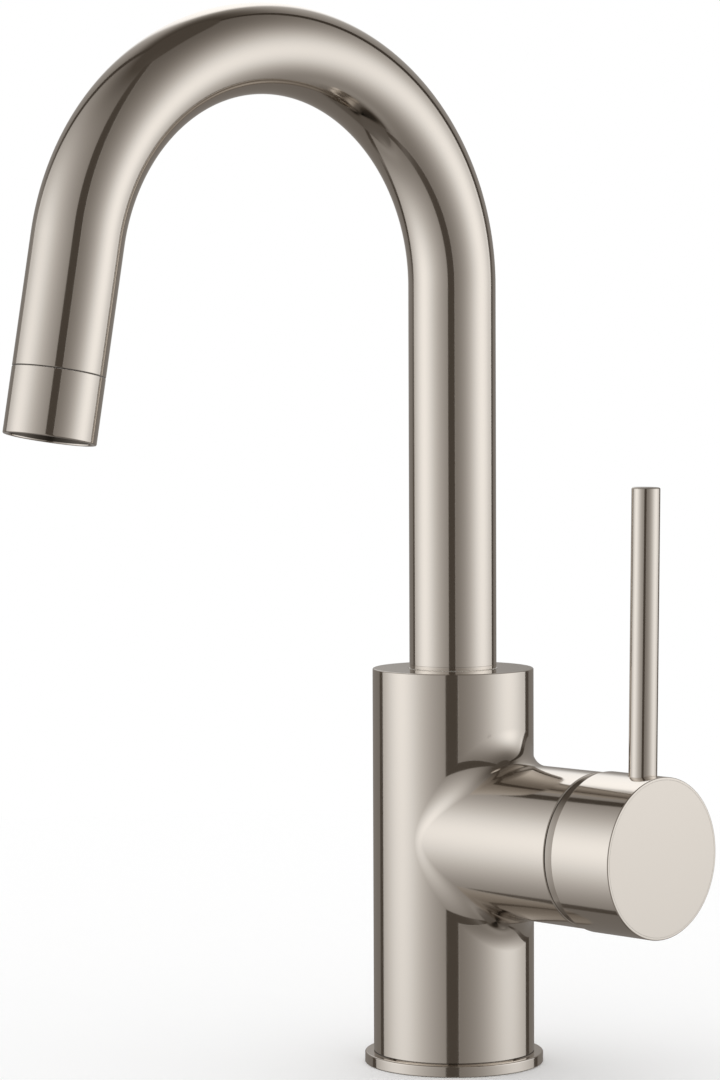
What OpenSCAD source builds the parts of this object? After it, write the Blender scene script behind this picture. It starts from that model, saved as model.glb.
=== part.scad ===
/* Gooseneck bar faucet with one side handle.
   Millimetres. +Z is up, the origin is the centre of the base on the deck,
   +X runs out along the handle hub. */

/* [Body] */
// Radius of the upright body
body_r = 23.5; // [22:0.1:26]
// Height of the body's flat top above the deck
body_h = 115.5; // [108:0.5:130]
// Radius of the base ring
base_r = 26.1; // [25:0.1:30]
// Height of the base ring's outer edge
base_h = 3.1; // [2.6:0.1:3.3]
// Radius of the round blend between the body and the side boss
blend_r = 10; // [4:0.5:12]

/* [Handle] */
// Height of the handle's axis above the deck
boss_z = 67.1; // [60:0.1:72]
// Radius of the side boss
boss_r = 22.2; // [22:0.05:22.3]
// Distance from the body's axis to the end of the boss
boss_end = 56.75; // [56.6:0.05:56.85]
// Radius of the handle hub
hub_r = 22.7; // [22.6:0.1:24]
// Distance from the body's axis to the back edge of the hub
hub_back = 59.9; // [59.8:0.1:60.2]
// Distance from the body's axis to the flat face of the hub
hub_face = 81.1; // [80.6:0.1:84]
// Radius of the lever rod
lever_r = 4; // [3.5:0.1:4.2]
// Distance from the body's axis to the lever rod, at the hub's axis
lever_x = 73.5; // [73.4:0.1:74.5]
// Height of the lever's tip above the hub's axis
lever_len = 102.8; // [80:0.2:120]
// Lean of the lever away from the body, in degrees
lever_lean = 0.85; // [0:0.05:1.2]

/* [Spout] */
// Outer radius of the spout tube
tube_r = 12.7; // [12.5:0.1:13]
// Wall thickness of the spout tube
tube_wall = 1.2; // [1:0.1:1.2]
// Height of the end of the straight riser
riser_top = 226.7; // [200:0.1:260]
// Radius of the gooseneck's centre line
bend_r = 65.5; // [55:0.1:75]
// Angle of the bend, in degrees
bend_angle = 169.9; // [165:0.1:180]
// Length of the straight stretch after the bend, with the outlet sleeve
leg_len = 54.5; // [50:0.1:60]
// Length of the outlet sleeve
sleeve_len = 18.4; // [17:0.1:22]
// Direction of the spout about the body, measured from the handle's axis
spout_azimuth = -96.1; // [-110:0.1:-80]

/* [Supply] */
// Radius of the mounting stud's thread core
stud_r = 3.4; // [3.3:0.05:3.5]
// Radius of each hose port's thread core
port_r = 4.5; // [4.4:0.05:4.6]

/* [Hidden] */
$fn = 96;

nickel = "#b8b0a5";
brass = "#c9a650";
steel = "#a9a9ab";
white_plastic = "#e6e5df";
grey_plastic = "#8d9094";
black_rubber = "#262626";
ceramic = "#efe9dc";

// Clearances: fixed pieces, round pieces that turn, flat faces. Cutters run past a face by this much.
fixed_gap = 0.02;
running_gap = 0.05;
face_gap = 0.1;
past = 1;
bend_step = 0.1;

// Body and base
foot_z = 3.5;
spigot_r = 19.4;
land_r = 22.6;
body_edge = 0.4;
base_round = 0.5;
seal_r1 = 20.8;
seal_r2 = 23.6;
seal_h = 1.3;
blend_stations = 30;
blend_steps = 6;
blend_root = 1;
blend_sink = 0.15;
blend_end = 15;

// Spout bearing, from the socket's floor up
socket_z = 88.4;
bush_z = 88.5;
bush_r = 11.5;
bush_lip_r = 12.9;
bush_lip_h = 2.2;
nipple_r = 9.5;
nipple_z = 89.5;
nipple_bore_r = 6.5;
nipple_top = 126;
slip_r = tube_r;
slip_h = 1.1;
tube_foot = body_h + slip_h + face_gap;
o_ring_levels = [94, 100];
o_ring_r = 0.72;
o_ring_groove_r = 8;
o_ring_groove_h = 2.6;
screw_z = 108;
screw_r = 2;
screw_point_r = 1.5;
screw_tip = 8.7;
screw_shoulder = 12;
screw_head = 22.8;
screw_hex_r = 1.15;
screw_hex_depth = 2;
lock_groove_r = 8.3;
lock_groove_h = 4.2;

// Supply ways in the body
stud_x = -11;
stud_depth = 17;
port_x = 9;
port_y = 8;
port_depth = 12;
way_r = 3.5;
inlet_y = 4.2;
inlet_z = 3;
inlet_r = 2.2;
mixed_z = -4;
mixed_r = 2.6;
mixed_way_x = -5;

// Cartridge, along the handle's axis
seat_x = 17.2;
base_front = 20;
case_r = 17.3;
case_front = 46;
neck_r = 12.5;
neck_front = 52.5;
mouth_r = 18.6;
chamber_r = 17.4;
disc_chamber_r = 13.2;
disc_chamber_end = 31;
disc_t = 3;
disc_gap = 0.02;
fixed_disc_r = 13.1;
moving_disc_r = 9.6;
disc_rest_z = -3.2;
mix_r = 4.6;
mix_z = -0.8;
mix_depth = 1.8;
port_seal_r = 0.7;
port_seal_recess = 2 * port_seal_r + face_gap;
slider_back = base_front + 2 * disc_t + 2 * disc_gap;
slider_front = 29.1;
key_front = 30.8;
key_half = 4.6;
pocket_r = 2.6;
pocket_back = 27;

// Carrier, stem and hinge
pivot_x = 48;
carrier_r = 10;
carrier_flange_r = 12.5;
carrier_back = 29.3;
carrier_shoulder = 30.9;
carrier_front = 53.5;
key_slot_half = 4.7;
key_slot_low = -5;
key_slot_high = 12.6;
arm_slot_half = 3.2;
arm_slot_low = -3.2;
arm_slot_high = 9;
post_slot_back = 43.4;
post_slot_half = 4.3;
post_slot_low = -7.6;
post_slot_high = 4.7;
pin_r = 1.5;
pin_half = 9.3;
post_r = 4;
post_end = 78;
knuckle_r = 4.2;
arm_r = 1.6;
arm_len = 18.5;
ball_r = 2.2;

// Nut, bonnet and hub
nut_back = 46.1;
nut_front = 51.3;
nut_bore_r = 12.8;
nut_slots = 4;
nut_slot = [3, 4, 3];
bonnet_back = 51.4;
bonnet_bore_r = 15.5;
bonnet_bore_end = 61;
bonnet_front = 66;
bonnet_mouth_r = 12.5;
bonnet_seat = boss_end + face_gap;
dome_r = 23.9;
dome_steps = 8;
hub_bore_r = 21.3;
hub_bore_end = 66;
hub_hollow_r = 24.6;
hub_edge = 0.45;
cap_r = 21.9;
cap_t = 1.2;
cap_gap = 0.1;
cap_edge = 0.25;
lever_foot = 13.6;
lever_edge = 0.5;
hub_screw_x = 75.4;
hub_screw_head = -12;
hub_screw_hex_r = 1.15;

// Outlet, measured along the leg from the end of the bend
sleeve_at = leg_len - sleeve_len;
seam = 0.3;
sleeve_spigot = 7;
spigot_wall = 1.2;
aerator_bore_r = 11.5;
aerator_at = sleeve_at + 3.6;
aerator_r = 11.45;
washer_t = 2;
washer_bore_r = 9;
core_at = aerator_at + washer_t;
core_t = 5;
core_skirt = 4.2;
core_skirt_r = 10.6;
core_holes = 12;
core_hole_r = 0.6;
core_ring_r = 7;
screen_r = 10.5;
screen_t = 0.3;
screen_offsets = [0.8, 2.2];
grid_at = core_at + core_t + core_skirt;
grid_t = 1.6;
grid_pitch = 2.9;
grid_hole_r = 1.4;
grid_rings = 3;

// Turns a profile of [radius, height] points about Z
module turned(profile) {
    rotate_extrude() polygon(profile);
}

// Ring standing on z = 0
module ring(outer_r, inner_r, h) {
    difference() {
        cylinder(r = outer_r, h = h);
        translate([0, 0, -past]) cylinder(r = inner_r, h = h + 2 * past);
    }
}

// Cylinder with a small bevel on its upper edge
module bevelled(r, h, edge) {
    turned([[0, 0], [r, 0], [r, h - edge], [r - edge, h], [0, h]]);
}

// Puts a shape's Z axis along the handle's axis, its floor at distance x
module on_handle_axis(x) {
    translate([x, 0, boss_z]) rotate([0, 90, 0]) children();
}

// Puts a shape at distance x along the handle's axis, without turning it
module at_handle(x, y = 0, z = 0) {
    translate([x, y, boss_z + z]) children();
}

// Turns a shape drawn in the XZ plane to the spout's direction
module in_spout_plane() {
    rotate([0, 0, spout_azimuth]) children();
}

// Puts a shape's Z axis along the outlet leg, its floor at distance l past the bend
module on_leg(l) {
    leg_angle = 180 - bend_angle;
    in_spout_plane()
        translate([bend_r * (1 + cos(leg_angle)), 0, riser_top + bend_r * sin(leg_angle)])
            rotate([0, bend_angle, 0]) translate([0, 0, l]) children();
}

// Solid of radius r along the spout's centre line, from height foot to length leg.
// The bend is a hair thinner, so its ends meet the straight stretches at an edge.
module spout_path(r, foot, leg) {
    in_spout_plane() translate([0, 0, foot]) cylinder(r = r, h = riser_top - foot);
    in_spout_plane() translate([bend_r, 0, riser_top])
        rotate([90, 0, 0]) rotate([0, 0, 180 - bend_angle])
            rotate_extrude(angle = bend_angle) translate([bend_r, 0]) circle(r = r - bend_step);
    on_leg(0) cylinder(r = r, h = leg);
}

// Rolling ball that touches the body and the boss: its centre at angle t about the boss
function ball_centre(t) = let (y = (boss_r + blend_r) * cos(t))
    [sqrt(pow(body_r + blend_r, 2) - y * y), y, (boss_r + blend_r) * sin(t)];
function on_body(c) = let (k = body_r / (body_r + blend_r)) [c.x * k, c.y * k, c.z];
function on_boss(c) = let (k = boss_r / (boss_r + blend_r)) [c.x, c.y * k, c.z * k];
function between(a, b, s) = let (w = acos(a * b)) (sin((1 - s) * w) * a + sin(s * w) * b) / sin(w);
function blend_inside(t) = let (y = (boss_r - blend_root) * cos(t))
    [sqrt(pow(body_r - blend_root, 2) - y * y), y, (boss_r - blend_root) * sin(t)];
function blend_section(t) =
    let (
        c = ball_centre(t),
        a = (on_body(c) - c) / blend_r,
        b = (on_boss(c) - c) / blend_r
    )
    concat(
        [c + (blend_r + blend_sink) * a],
        [for (i = [1:blend_steps - 1]) c + blend_r * between(a, b, i / blend_steps)],
        [c + (blend_r + blend_sink) * b, blend_inside(t)]
    );

// Round blend where the boss leaves the body, over or under the boss.
// At the boss's sides the two cylinders already meet almost flush, so it ends short of them.
module boss_blend(upper) {
    n = blend_steps + 2;
    span = 180 - 2 * blend_end;
    from = upper ? blend_end : 180 + blend_end;
    sections = [for (k = [0:blend_stations]) blend_section(from + span * k / blend_stations)];
    points = [for (s = sections) each s];
    sides = [for (k = [0:blend_stations - 1], i = [0:n - 1])
        let (
            a = k * n + i,
            b = k * n + (i + 1) % n,
            c = (k + 1) * n + (i + 1) % n,
            d = (k + 1) * n + i
        )
        each [[a, b, c], [a, c, d]]];
    root = n - 1;
    last = blend_stations * n;
    ends = [for (i = [0:n - 3]) each [[root, i + 1, i], [last + root, last + i, last + i + 1]]];
    at_handle(0) polyhedron(points, concat(sides, ends));
}

// Ways for hot, cold and mixed water
module water_ways() {
    for (side = [-1, 1]) {
        translate([port_x, side * port_y, -past]) cylinder(r = port_r, h = port_depth + past);
        translate([port_x, side * port_y, 0]) cylinder(r = way_r, h = boss_z + inlet_z + inlet_r);
        translate([port_x, side * inlet_y, boss_z + inlet_z])
            rotate([0, 90, 0]) cylinder(r = inlet_r, h = seat_x - port_x + past);
    }
    translate([mixed_way_x, 0, boss_z + mixed_z])
        rotate([0, 90, 0]) cylinder(r = mixed_r, h = seat_x - mixed_way_x + past);
    translate([mixed_way_x, 0, boss_z + mixed_z - mixed_r])
        cylinder(r = way_r, h = socket_z - boss_z - mixed_z + mixed_r + past);
}

module body_outside() {
    translate([0, 0, foot_z]) bevelled(body_r, body_h - foot_z, body_edge);
    cylinder(r = spigot_r, h = foot_z + past);
    on_handle_axis(0) bevelled(boss_r, boss_end, body_edge);
    boss_blend(true);
    boss_blend(false);
}

module faucet_body() color(nickel) difference() {
    body_outside();
    translate([0, 0, socket_z]) cylinder(r = bush_r + fixed_gap, h = body_h);
    translate([0, 0, body_h - bush_lip_h]) cylinder(r = bush_lip_r + fixed_gap, h = bush_lip_h + past);
    translate([0, 0, screw_z]) rotate([-90, 0, 0]) cylinder(r = screw_r + fixed_gap, h = body_r + past);
    on_handle_axis(seat_x) cylinder(r = chamber_r, h = boss_end);
    on_handle_axis(case_front) cylinder(r = mouth_r, h = boss_end);
    translate([stud_x, 0, -past]) cylinder(r = stud_r, h = stud_depth + past);
    water_ways();
}

module base_ring() color(nickel) turned(concat(
    [[spigot_r + fixed_gap, 0], [seal_r1, 0], [seal_r1, seal_h], [seal_r2, seal_h], [seal_r2, 0]],
    [[base_r, 0]],
    [for (a = [0:15:90]) [base_r - base_round * (1 - cos(a)), base_h - base_round * (1 - sin(a))]],
    [[land_r, base_h], [land_r, foot_z], [spigot_r + fixed_gap, foot_z]]
));

module base_seal() color(black_rubber) ring(seal_r2 - fixed_gap, seal_r1 + fixed_gap, seal_h);

module spout_bush() color(white_plastic) difference() {
    union() {
        translate([0, 0, bush_z]) cylinder(r = bush_r, h = body_h - bush_z);
        translate([0, 0, body_h - bush_lip_h]) cylinder(r = bush_lip_r, h = bush_lip_h);
    }
    translate([0, 0, bush_z - past]) cylinder(r = nipple_r + running_gap, h = body_h);
    translate([0, 0, screw_z]) rotate([-90, 0, 0]) cylinder(r = screw_r + fixed_gap, h = body_r);
}

module slip_ring() color(nickel) translate([0, 0, body_h])
    ring(slip_r, nipple_r + face_gap, slip_h);

module spout_retaining_screw() color(steel)
    translate([0, 0, screw_z]) rotate([-90, 0, 0]) difference() {
        union() {
            translate([0, 0, screw_shoulder]) cylinder(r = screw_r, h = screw_head - screw_shoulder);
            translate([0, 0, screw_tip]) cylinder(r = screw_point_r, h = screw_shoulder - screw_tip + past);
        }
        translate([0, 0, screw_head - screw_hex_depth])
            cylinder(r = screw_hex_r, h = screw_hex_depth + past, $fn = 6);
    }

// Places a shape at each water port of the cartridge: two inlets and the mixed outlet
module at_ports(x) {
    for (side = [-1, 1]) at_handle(x, side * inlet_y, inlet_z) rotate([0, 90, 0]) children();
    at_handle(x, 0, mixed_z) rotate([0, 90, 0]) children();
}

module cartridge_base() color(grey_plastic) difference() {
    on_handle_axis(seat_x) cylinder(r = case_r, h = base_front - seat_x);
    at_ports(seat_x - past) cylinder(r = inlet_r, h = base_front);
    at_ports(seat_x - past) cylinder(r = inlet_r + 2 * port_seal_r + face_gap, h = port_seal_recess + past);
}

module port_seals() color(black_rubber) at_ports(seat_x + port_seal_r)
    rotate_extrude() translate([inlet_r + port_seal_r, 0]) circle(r = port_seal_r, $fn = 24);

module fixed_disc() color(ceramic) difference() {
    on_handle_axis(base_front) cylinder(r = fixed_disc_r, h = disc_t);
    at_ports(base_front - past) cylinder(r = inlet_r - 0.3, h = disc_t + 2 * past);
}

module cartridge_case() color(grey_plastic) difference() {
    union() {
        on_handle_axis(base_front) cylinder(r = case_r, h = case_front - base_front);
        on_handle_axis(base_front) cylinder(r = neck_r, h = neck_front - base_front);
    }
    on_handle_axis(base_front - past) cylinder(r = disc_chamber_r, h = disc_chamber_end - base_front + past);
    on_handle_axis(base_front) cylinder(r = carrier_r + running_gap, h = neck_front);
}

module cartridge_nut() color(brass) difference() {
    on_handle_axis(nut_back) ring(mouth_r - fixed_gap, nut_bore_r, nut_front - nut_back);
    for (k = [0:nut_slots - 1])
        on_handle_axis(nut_front) rotate([0, 0, 360 * k / nut_slots])
            translate([mouth_r - nut_slot.x, -nut_slot.y / 2, -nut_slot.z])
                cube([2 * nut_slot.x, nut_slot.y, nut_slot.z + past]);
}

// Radius of the dome at distance x along the handle's axis
function dome_radius(x) = sqrt(pow(dome_r, 2) - pow(x - pivot_x, 2));

module bonnet_ring() color(nickel) on_handle_axis(0) turned(concat(
    [[bonnet_bore_r, bonnet_back], [mouth_r - fixed_gap, bonnet_back], [mouth_r - fixed_gap, bonnet_seat]],
    [for (k = [0:dome_steps])
        let (x = bonnet_seat + (bonnet_front - bonnet_seat) * k / dome_steps) [dome_radius(x), x]],
    [[bonnet_mouth_r, bonnet_front], [bonnet_mouth_r, bonnet_bore_end], [bonnet_bore_r, bonnet_bore_end]]
));

// Box between two X planes, half as wide as half_y each side, from low to high in Z
module slot_box(x1, x2, half_y, low, high) {
    at_handle(x1, -half_y, low) cube([x2 - x1, 2 * half_y, high - low]);
}

module stem_carrier() color(white_plastic) difference() {
    union() {
        on_handle_axis(carrier_back) cylinder(r = carrier_flange_r, h = carrier_shoulder - carrier_back);
        on_handle_axis(carrier_back) cylinder(r = carrier_r, h = carrier_front - carrier_back);
    }
    slot_box(carrier_back - past, carrier_shoulder + past, key_slot_half, key_slot_low, key_slot_high);
    slot_box(carrier_back - past, pivot_x, arm_slot_half, arm_slot_low, arm_slot_high);
    slot_box(post_slot_back, carrier_front + past, post_slot_half, post_slot_low, post_slot_high);
    at_handle(pivot_x) rotate([90, 0, 0]) cylinder(r = pin_r + fixed_gap, h = 3 * carrier_r, center = true);
}

module hinge_pin() color(steel) at_handle(pivot_x)
    rotate([90, 0, 0]) cylinder(r = pin_r, h = 2 * pin_half, center = true);

module disc_slider() color(white_plastic) difference() {
    union() {
        at_handle(slider_back, 0, disc_rest_z) rotate([0, 90, 0])
            cylinder(r = moving_disc_r, h = slider_front - slider_back);
        slot_box(slider_back, key_front, key_half, -key_half, key_half);
    }
    on_handle_axis(pocket_back) cylinder(r = pocket_r, h = key_front);
}

module moving_disc() color(ceramic) difference() {
    at_handle(base_front + disc_t + disc_gap, 0, disc_rest_z) rotate([0, 90, 0])
        cylinder(r = moving_disc_r, h = disc_t);
    at_handle(base_front + disc_t - past, 0, disc_rest_z + mix_z) rotate([0, 90, 0])
        cylinder(r = mix_r, h = mix_depth + past);
}

module cartridge_stem() color(brass) difference() {
    union() {
        on_handle_axis(pivot_x) cylinder(r = post_r, h = post_end - pivot_x);
        at_handle(pivot_x) rotate([90, 0, 0]) cylinder(r = knuckle_r, h = 2 * post_r, center = true);
        on_handle_axis(pivot_x - arm_len) cylinder(r = arm_r, h = arm_len);
        at_handle(pivot_x - arm_len) sphere(r = ball_r);
    }
    at_handle(pivot_x) rotate([90, 0, 0])
        cylinder(r = pin_r + running_gap, h = 4 * post_r, center = true);
}

// Direction of the lever rod: +Z of its own shape is its length
module on_lever() {
    at_handle(lever_x) rotate([0, lever_lean, 0]) children();
}

module handle_hub() color(nickel) difference() {
    on_handle_axis(hub_back) turned([
        [0, 0], [hub_r - hub_edge, 0], [hub_r, hub_edge],
        [hub_r, hub_face - hub_back - hub_edge], [hub_r - hub_edge, hub_face - hub_back],
        [0, hub_face - hub_back]
    ]);
    on_handle_axis(hub_back - past) cylinder(r = hub_bore_r, h = hub_bore_end - hub_back + past);
    at_handle(pivot_x) sphere(r = hub_hollow_r);
    on_handle_axis(pivot_x) cylinder(r = post_r + fixed_gap, h = post_end - pivot_x + face_gap);
    on_handle_axis(hub_face - cap_t - fixed_gap) cylinder(r = cap_r + cap_gap, h = cap_t + past);
    on_lever() translate([0, 0, lever_foot - face_gap]) cylinder(r = lever_r + fixed_gap, h = hub_r);
    at_handle(hub_screw_x, 0, -hub_r - past) cylinder(r = screw_r + fixed_gap, h = hub_r);
}

module hub_set_screw() color(steel) difference() {
    at_handle(hub_screw_x, 0, hub_screw_head) cylinder(r = screw_r, h = -hub_screw_head - post_r - fixed_gap);
    at_handle(hub_screw_x, 0, hub_screw_head - past)
        cylinder(r = hub_screw_hex_r, h = screw_hex_depth + past, $fn = 6);
}

module hub_cap() color(nickel) on_handle_axis(hub_face - cap_t) bevelled(cap_r, cap_t, cap_edge);

module lever_rod() color(nickel) on_lever() turned(concat(
    [[0, lever_foot], [lever_r, lever_foot]],
    [for (a = [0:22.5:90])
        [lever_r - lever_edge * (1 - cos(a)), lever_len - lever_edge * (1 - sin(a))]],
    [[0, lever_len]]
));

module spout_tube() color(nickel) difference() {
    spout_path(tube_r, tube_foot, sleeve_at);
    spout_path(tube_r - tube_wall, tube_foot - past, sleeve_at + past);
}

module spout_nipple() color(brass) difference() {
    union() {
        translate([0, 0, nipple_z]) cylinder(r = nipple_r, h = nipple_top - nipple_z);
        translate([0, 0, tube_foot])
            cylinder(r = tube_r - tube_wall - fixed_gap, h = nipple_top - tube_foot);
    }
    translate([0, 0, nipple_z - past]) cylinder(r = nipple_bore_r, h = nipple_top - nipple_z + 2 * past);
    for (z = o_ring_levels)
        translate([0, 0, z - o_ring_groove_h / 2]) ring(nipple_r + past, o_ring_groove_r, o_ring_groove_h);
    translate([0, 0, screw_z - lock_groove_h / 2]) ring(nipple_r + past, lock_groove_r, lock_groove_h);
}

module spout_o_rings() color(black_rubber) for (z = o_ring_levels) translate([0, 0, z])
    rotate_extrude() translate([o_ring_groove_r + o_ring_r + fixed_gap, 0]) circle(r = o_ring_r, $fn = 24);

module outlet_sleeve() color(nickel) difference() {
    union() {
        on_leg(sleeve_at + seam) cylinder(r = tube_r, h = sleeve_len - seam);
        on_leg(sleeve_at - sleeve_spigot)
            cylinder(r = tube_r - tube_wall - fixed_gap, h = sleeve_spigot + seam + past);
    }
    on_leg(sleeve_at - sleeve_spigot - past)
        cylinder(r = tube_r - tube_wall - spigot_wall, h = sleeve_len + sleeve_spigot);
    on_leg(aerator_at) cylinder(r = aerator_bore_r, h = sleeve_len);
}

module aerator_washer() color(black_rubber) on_leg(aerator_at) ring(aerator_r, washer_bore_r, washer_t);

module aerator_core() color(white_plastic) on_leg(core_at) difference() {
    cylinder(r = aerator_r, h = core_t + core_skirt);
    translate([0, 0, core_t]) cylinder(r = core_skirt_r, h = core_skirt + past);
    for (k = [0:core_holes - 1]) rotate([0, 0, 360 * k / core_holes])
        translate([core_ring_r, 0, -past]) cylinder(r = core_hole_r, h = core_t + 2 * past, $fn = 16);
}

module aerator_screens() color(steel) for (offset_l = screen_offsets)
    on_leg(core_at + core_t + offset_l) cylinder(r = screen_r, h = screen_t);

// Centres of the grid's cells: rings of six, twelve and eighteen round one in the middle
grid_cells = [for (i = [-grid_rings:grid_rings], j = [-grid_rings:grid_rings])
    if (abs(i + j) <= grid_rings) [grid_pitch * (i + j / 2), grid_pitch * j * sin(60)]];

module aerator_grid() color(grey_plastic) on_leg(grid_at) difference() {
    cylinder(r = aerator_r, h = grid_t);
    for (cell = grid_cells) translate([cell.x, cell.y, -past])
        cylinder(r = grid_hole_r, h = grid_t + 2 * past, $fn = 6);
}

faucet_body();
base_ring();
base_seal();
spout_bush();
slip_ring();
spout_retaining_screw();
cartridge_base();
port_seals();
fixed_disc();
cartridge_case();
cartridge_nut();
bonnet_ring();
stem_carrier();
hinge_pin();
disc_slider();
moving_disc();
cartridge_stem();
handle_hub();
hub_set_screw();
hub_cap();
lever_rod();
spout_tube();
spout_nipple();
spout_o_rings();
outlet_sleeve();
aerator_washer();
aerator_core();
aerator_screens();
aerator_grid();
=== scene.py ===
"""Looks of a gooseneck bar faucet in polished warm nickel.

Shapes are drawn in millimetres in the frame's own axes and scaled to metres when a mesh is made.
"""
import math

import bpy
from mathutils import Matrix, Vector
from mathutils.geometry import delaunay_2d_cdt
from mathutils.kdtree import KDTree


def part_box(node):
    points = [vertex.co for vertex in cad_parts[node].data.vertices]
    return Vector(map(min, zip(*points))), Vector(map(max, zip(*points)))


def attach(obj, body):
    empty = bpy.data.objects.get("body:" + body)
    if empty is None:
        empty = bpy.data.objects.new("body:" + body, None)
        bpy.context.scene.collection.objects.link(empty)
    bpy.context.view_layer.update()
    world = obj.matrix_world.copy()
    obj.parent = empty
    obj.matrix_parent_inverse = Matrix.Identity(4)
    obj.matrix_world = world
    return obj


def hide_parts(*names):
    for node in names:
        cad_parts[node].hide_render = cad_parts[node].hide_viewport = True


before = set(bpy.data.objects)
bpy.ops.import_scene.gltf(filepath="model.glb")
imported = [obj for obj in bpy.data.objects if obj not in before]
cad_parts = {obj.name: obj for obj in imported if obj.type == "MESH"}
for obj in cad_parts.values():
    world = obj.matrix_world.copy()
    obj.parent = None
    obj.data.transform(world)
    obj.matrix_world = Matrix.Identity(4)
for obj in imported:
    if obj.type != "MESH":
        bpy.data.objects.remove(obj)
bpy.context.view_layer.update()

MM = 0.001
TURN = 2 * math.pi


# ---------------------------------------------------------------- sizes

def span(node):
    """Lowest and highest corner of a CAD node, in millimetres."""
    low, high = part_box(node)
    return low / MM, high / MM


_, body_high = span("faucet_body")
_, ring_high = span("base_ring")
_, bush_high = span("spout_bush")
slip_low, slip_high = span("slip_ring")
hub_low, hub_high = span("handle_hub")
cap_low, cap_high = span("hub_cap")
bonnet_low, bonnet_high = span("bonnet_ring")
_, nut_high = span("cartridge_nut")
base_piece_low, _ = span("cartridge_base")
screw_low, screw_high = span("spout_retaining_screw")
grub_low, grub_high = span("hub_set_screw")
_, post_high = span("cartridge_stem")

# Body, boss and base
body_r = body_high.y
body_top = body_high.z
boss_end = body_high.x
axis_z = (hub_low.z + hub_high.z) / 2
boss_r = 22.2
blend_r = 10.0
body_edge = 0.4
mouth_edge = 0.15
foot_z = ring_high.z
base_r = ring_high.x
base_top = 3.1
base_top_edge = 0.45
base_low_edge = 0.15
land_r = 20.3
spigot_r = 19.4
fit = 0.02
mouth_r = nut_high.y + fit
mouth_back = 46.0
chamber_r = 17.4
seat_x = base_piece_low.x
socket_r = 11.5 + fit
socket_floor = 88.4
bush_lip_r = bush_high.x + fit
bush_lip_floor = body_top - 2.2
stud_hole = (-11.0, 0.0, 3.4)
port_holes = [(9.0, 8.0, 4.5), (9.0, -8.0, 4.5)]
hole_depth = 12.0

# Handle
pivot_x = 48.0
hub_r = hub_high.y
hub_back = hub_low.x
hub_face = hub_high.x
hub_edge = 0.35
hub_bore_r = 21.3
hub_bore_end = 66.0
hub_hollow_r = 24.6
post_r = 4.0
hub_mouth_edge = 0.3
post_end = post_high.x + 0.1
cap_r = cap_high.y
cap_back = cap_low.x
cap_edge = 0.04
cap_back_edge = 0.1
recess_r = cap_r + fit
recess_edge = 0.03
lever_r = 4.0
lever_x = 73.5
lever_foot = 13.6
lever_len = 102.8
lever_split = 24.2
lever_lean = math.radians(0.85)
lever_edge = 0.5
lever_foot_edge = 0.3
lever_rim = 0.18
lever_hole_floor = lever_foot - 0.1
grub_x = (grub_low.x + grub_high.x) / 2
grub_rim = 0.25
grub_tip_len = 0.6
dome_r = 23.9
bonnet_back = bonnet_low.x
bonnet_front = bonnet_high.x
bonnet_seat = boss_end + 0.42
bonnet_mouth_r = 12.5
bonnet_bore_r = 15.5
bonnet_bore_end = 61.0

# Spout
tube_r = slip_high.x
tube_wall = 1.2
tube_foot = slip_high.z + fit
riser_top = 226.7
bend_r = 65.5
bend_angle = math.radians(169.9)
leg_len = 54.5
sleeve_len = 18.4
seam = 0.3
spout_split = 0.5
spout_azimuth = math.radians(-96.1)
tube_edge = 0.04
slip_bore_r = 9.6
slip_groove = 0.16
slip_foot_r = tube_r - 0.3
slip_low_edge = 0.03
slip_top_edge = 0.02
seam_edge = 0.12
outlet_edge = 0.35
aerator_r = 11.45
sleeve_bore_r = aerator_r + 0.05
sleeve_lip = 0.45
sleeve_bore_edge = 0.25
spigot_out_r = tube_r - tube_wall - fit
spigot_in_r = spigot_out_r - 1.2
spigot_rise = 7.0
aerator_at = leg_len - sleeve_len + 3.6
grid_at = aerator_at + 11.2
grid_t = 1.6
grid_pitch = 2.9
grid_hole_r = 1.4
grid_rings = 3
grid_rim_r = aerator_r - 0.9
grid_rim_h = 0.35
grid_rim_slope = 0.1
grid_edge = 0.2

# Set screws, and the hole of the one at the back
screw_r = 2.0
screw_tip_r = 1.5
screw_edge = 0.15
screw_top_edge = 0.25
screw_hex_r = 1.15
screw_hex_depth = 2.0
screw_face_r = screw_hex_r + 0.35
screw_z = (screw_low.z + screw_high.z) / 2
screw_tip_len = 3.3
screw_rim = 0.2
screw_rim_depth = 0.25
screw_hole_end = socket_r + 0.1

# Fineness of the meshes
AROUND = 192
TUBE_AROUND = 128
LEVER_AROUND = 96
SCREW_AROUND = 64
HOLE_AROUND = 48
SCREW_HOLE_AROUND = 32
BLEND_STEPS = 16
BOSS_STEPS = 8
DOME_STEPS = 24
HOLLOW_STEPS = 24
RIM_STEPS = 6
LEG_STATIONS = 6
BEND_STATIONS = 150
RISER_STATIONS = 12
SPLIT_STATION = RISER_STATIONS + round(spout_split * BEND_STATIONS)
FLAT_JOIN = 1e-7

# A rounding as wide as the stretch before it is made just smaller, so that the stretch keeps a length
NEARLY = 0.999


# ---------------------------------------------------------------- skins

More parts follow.
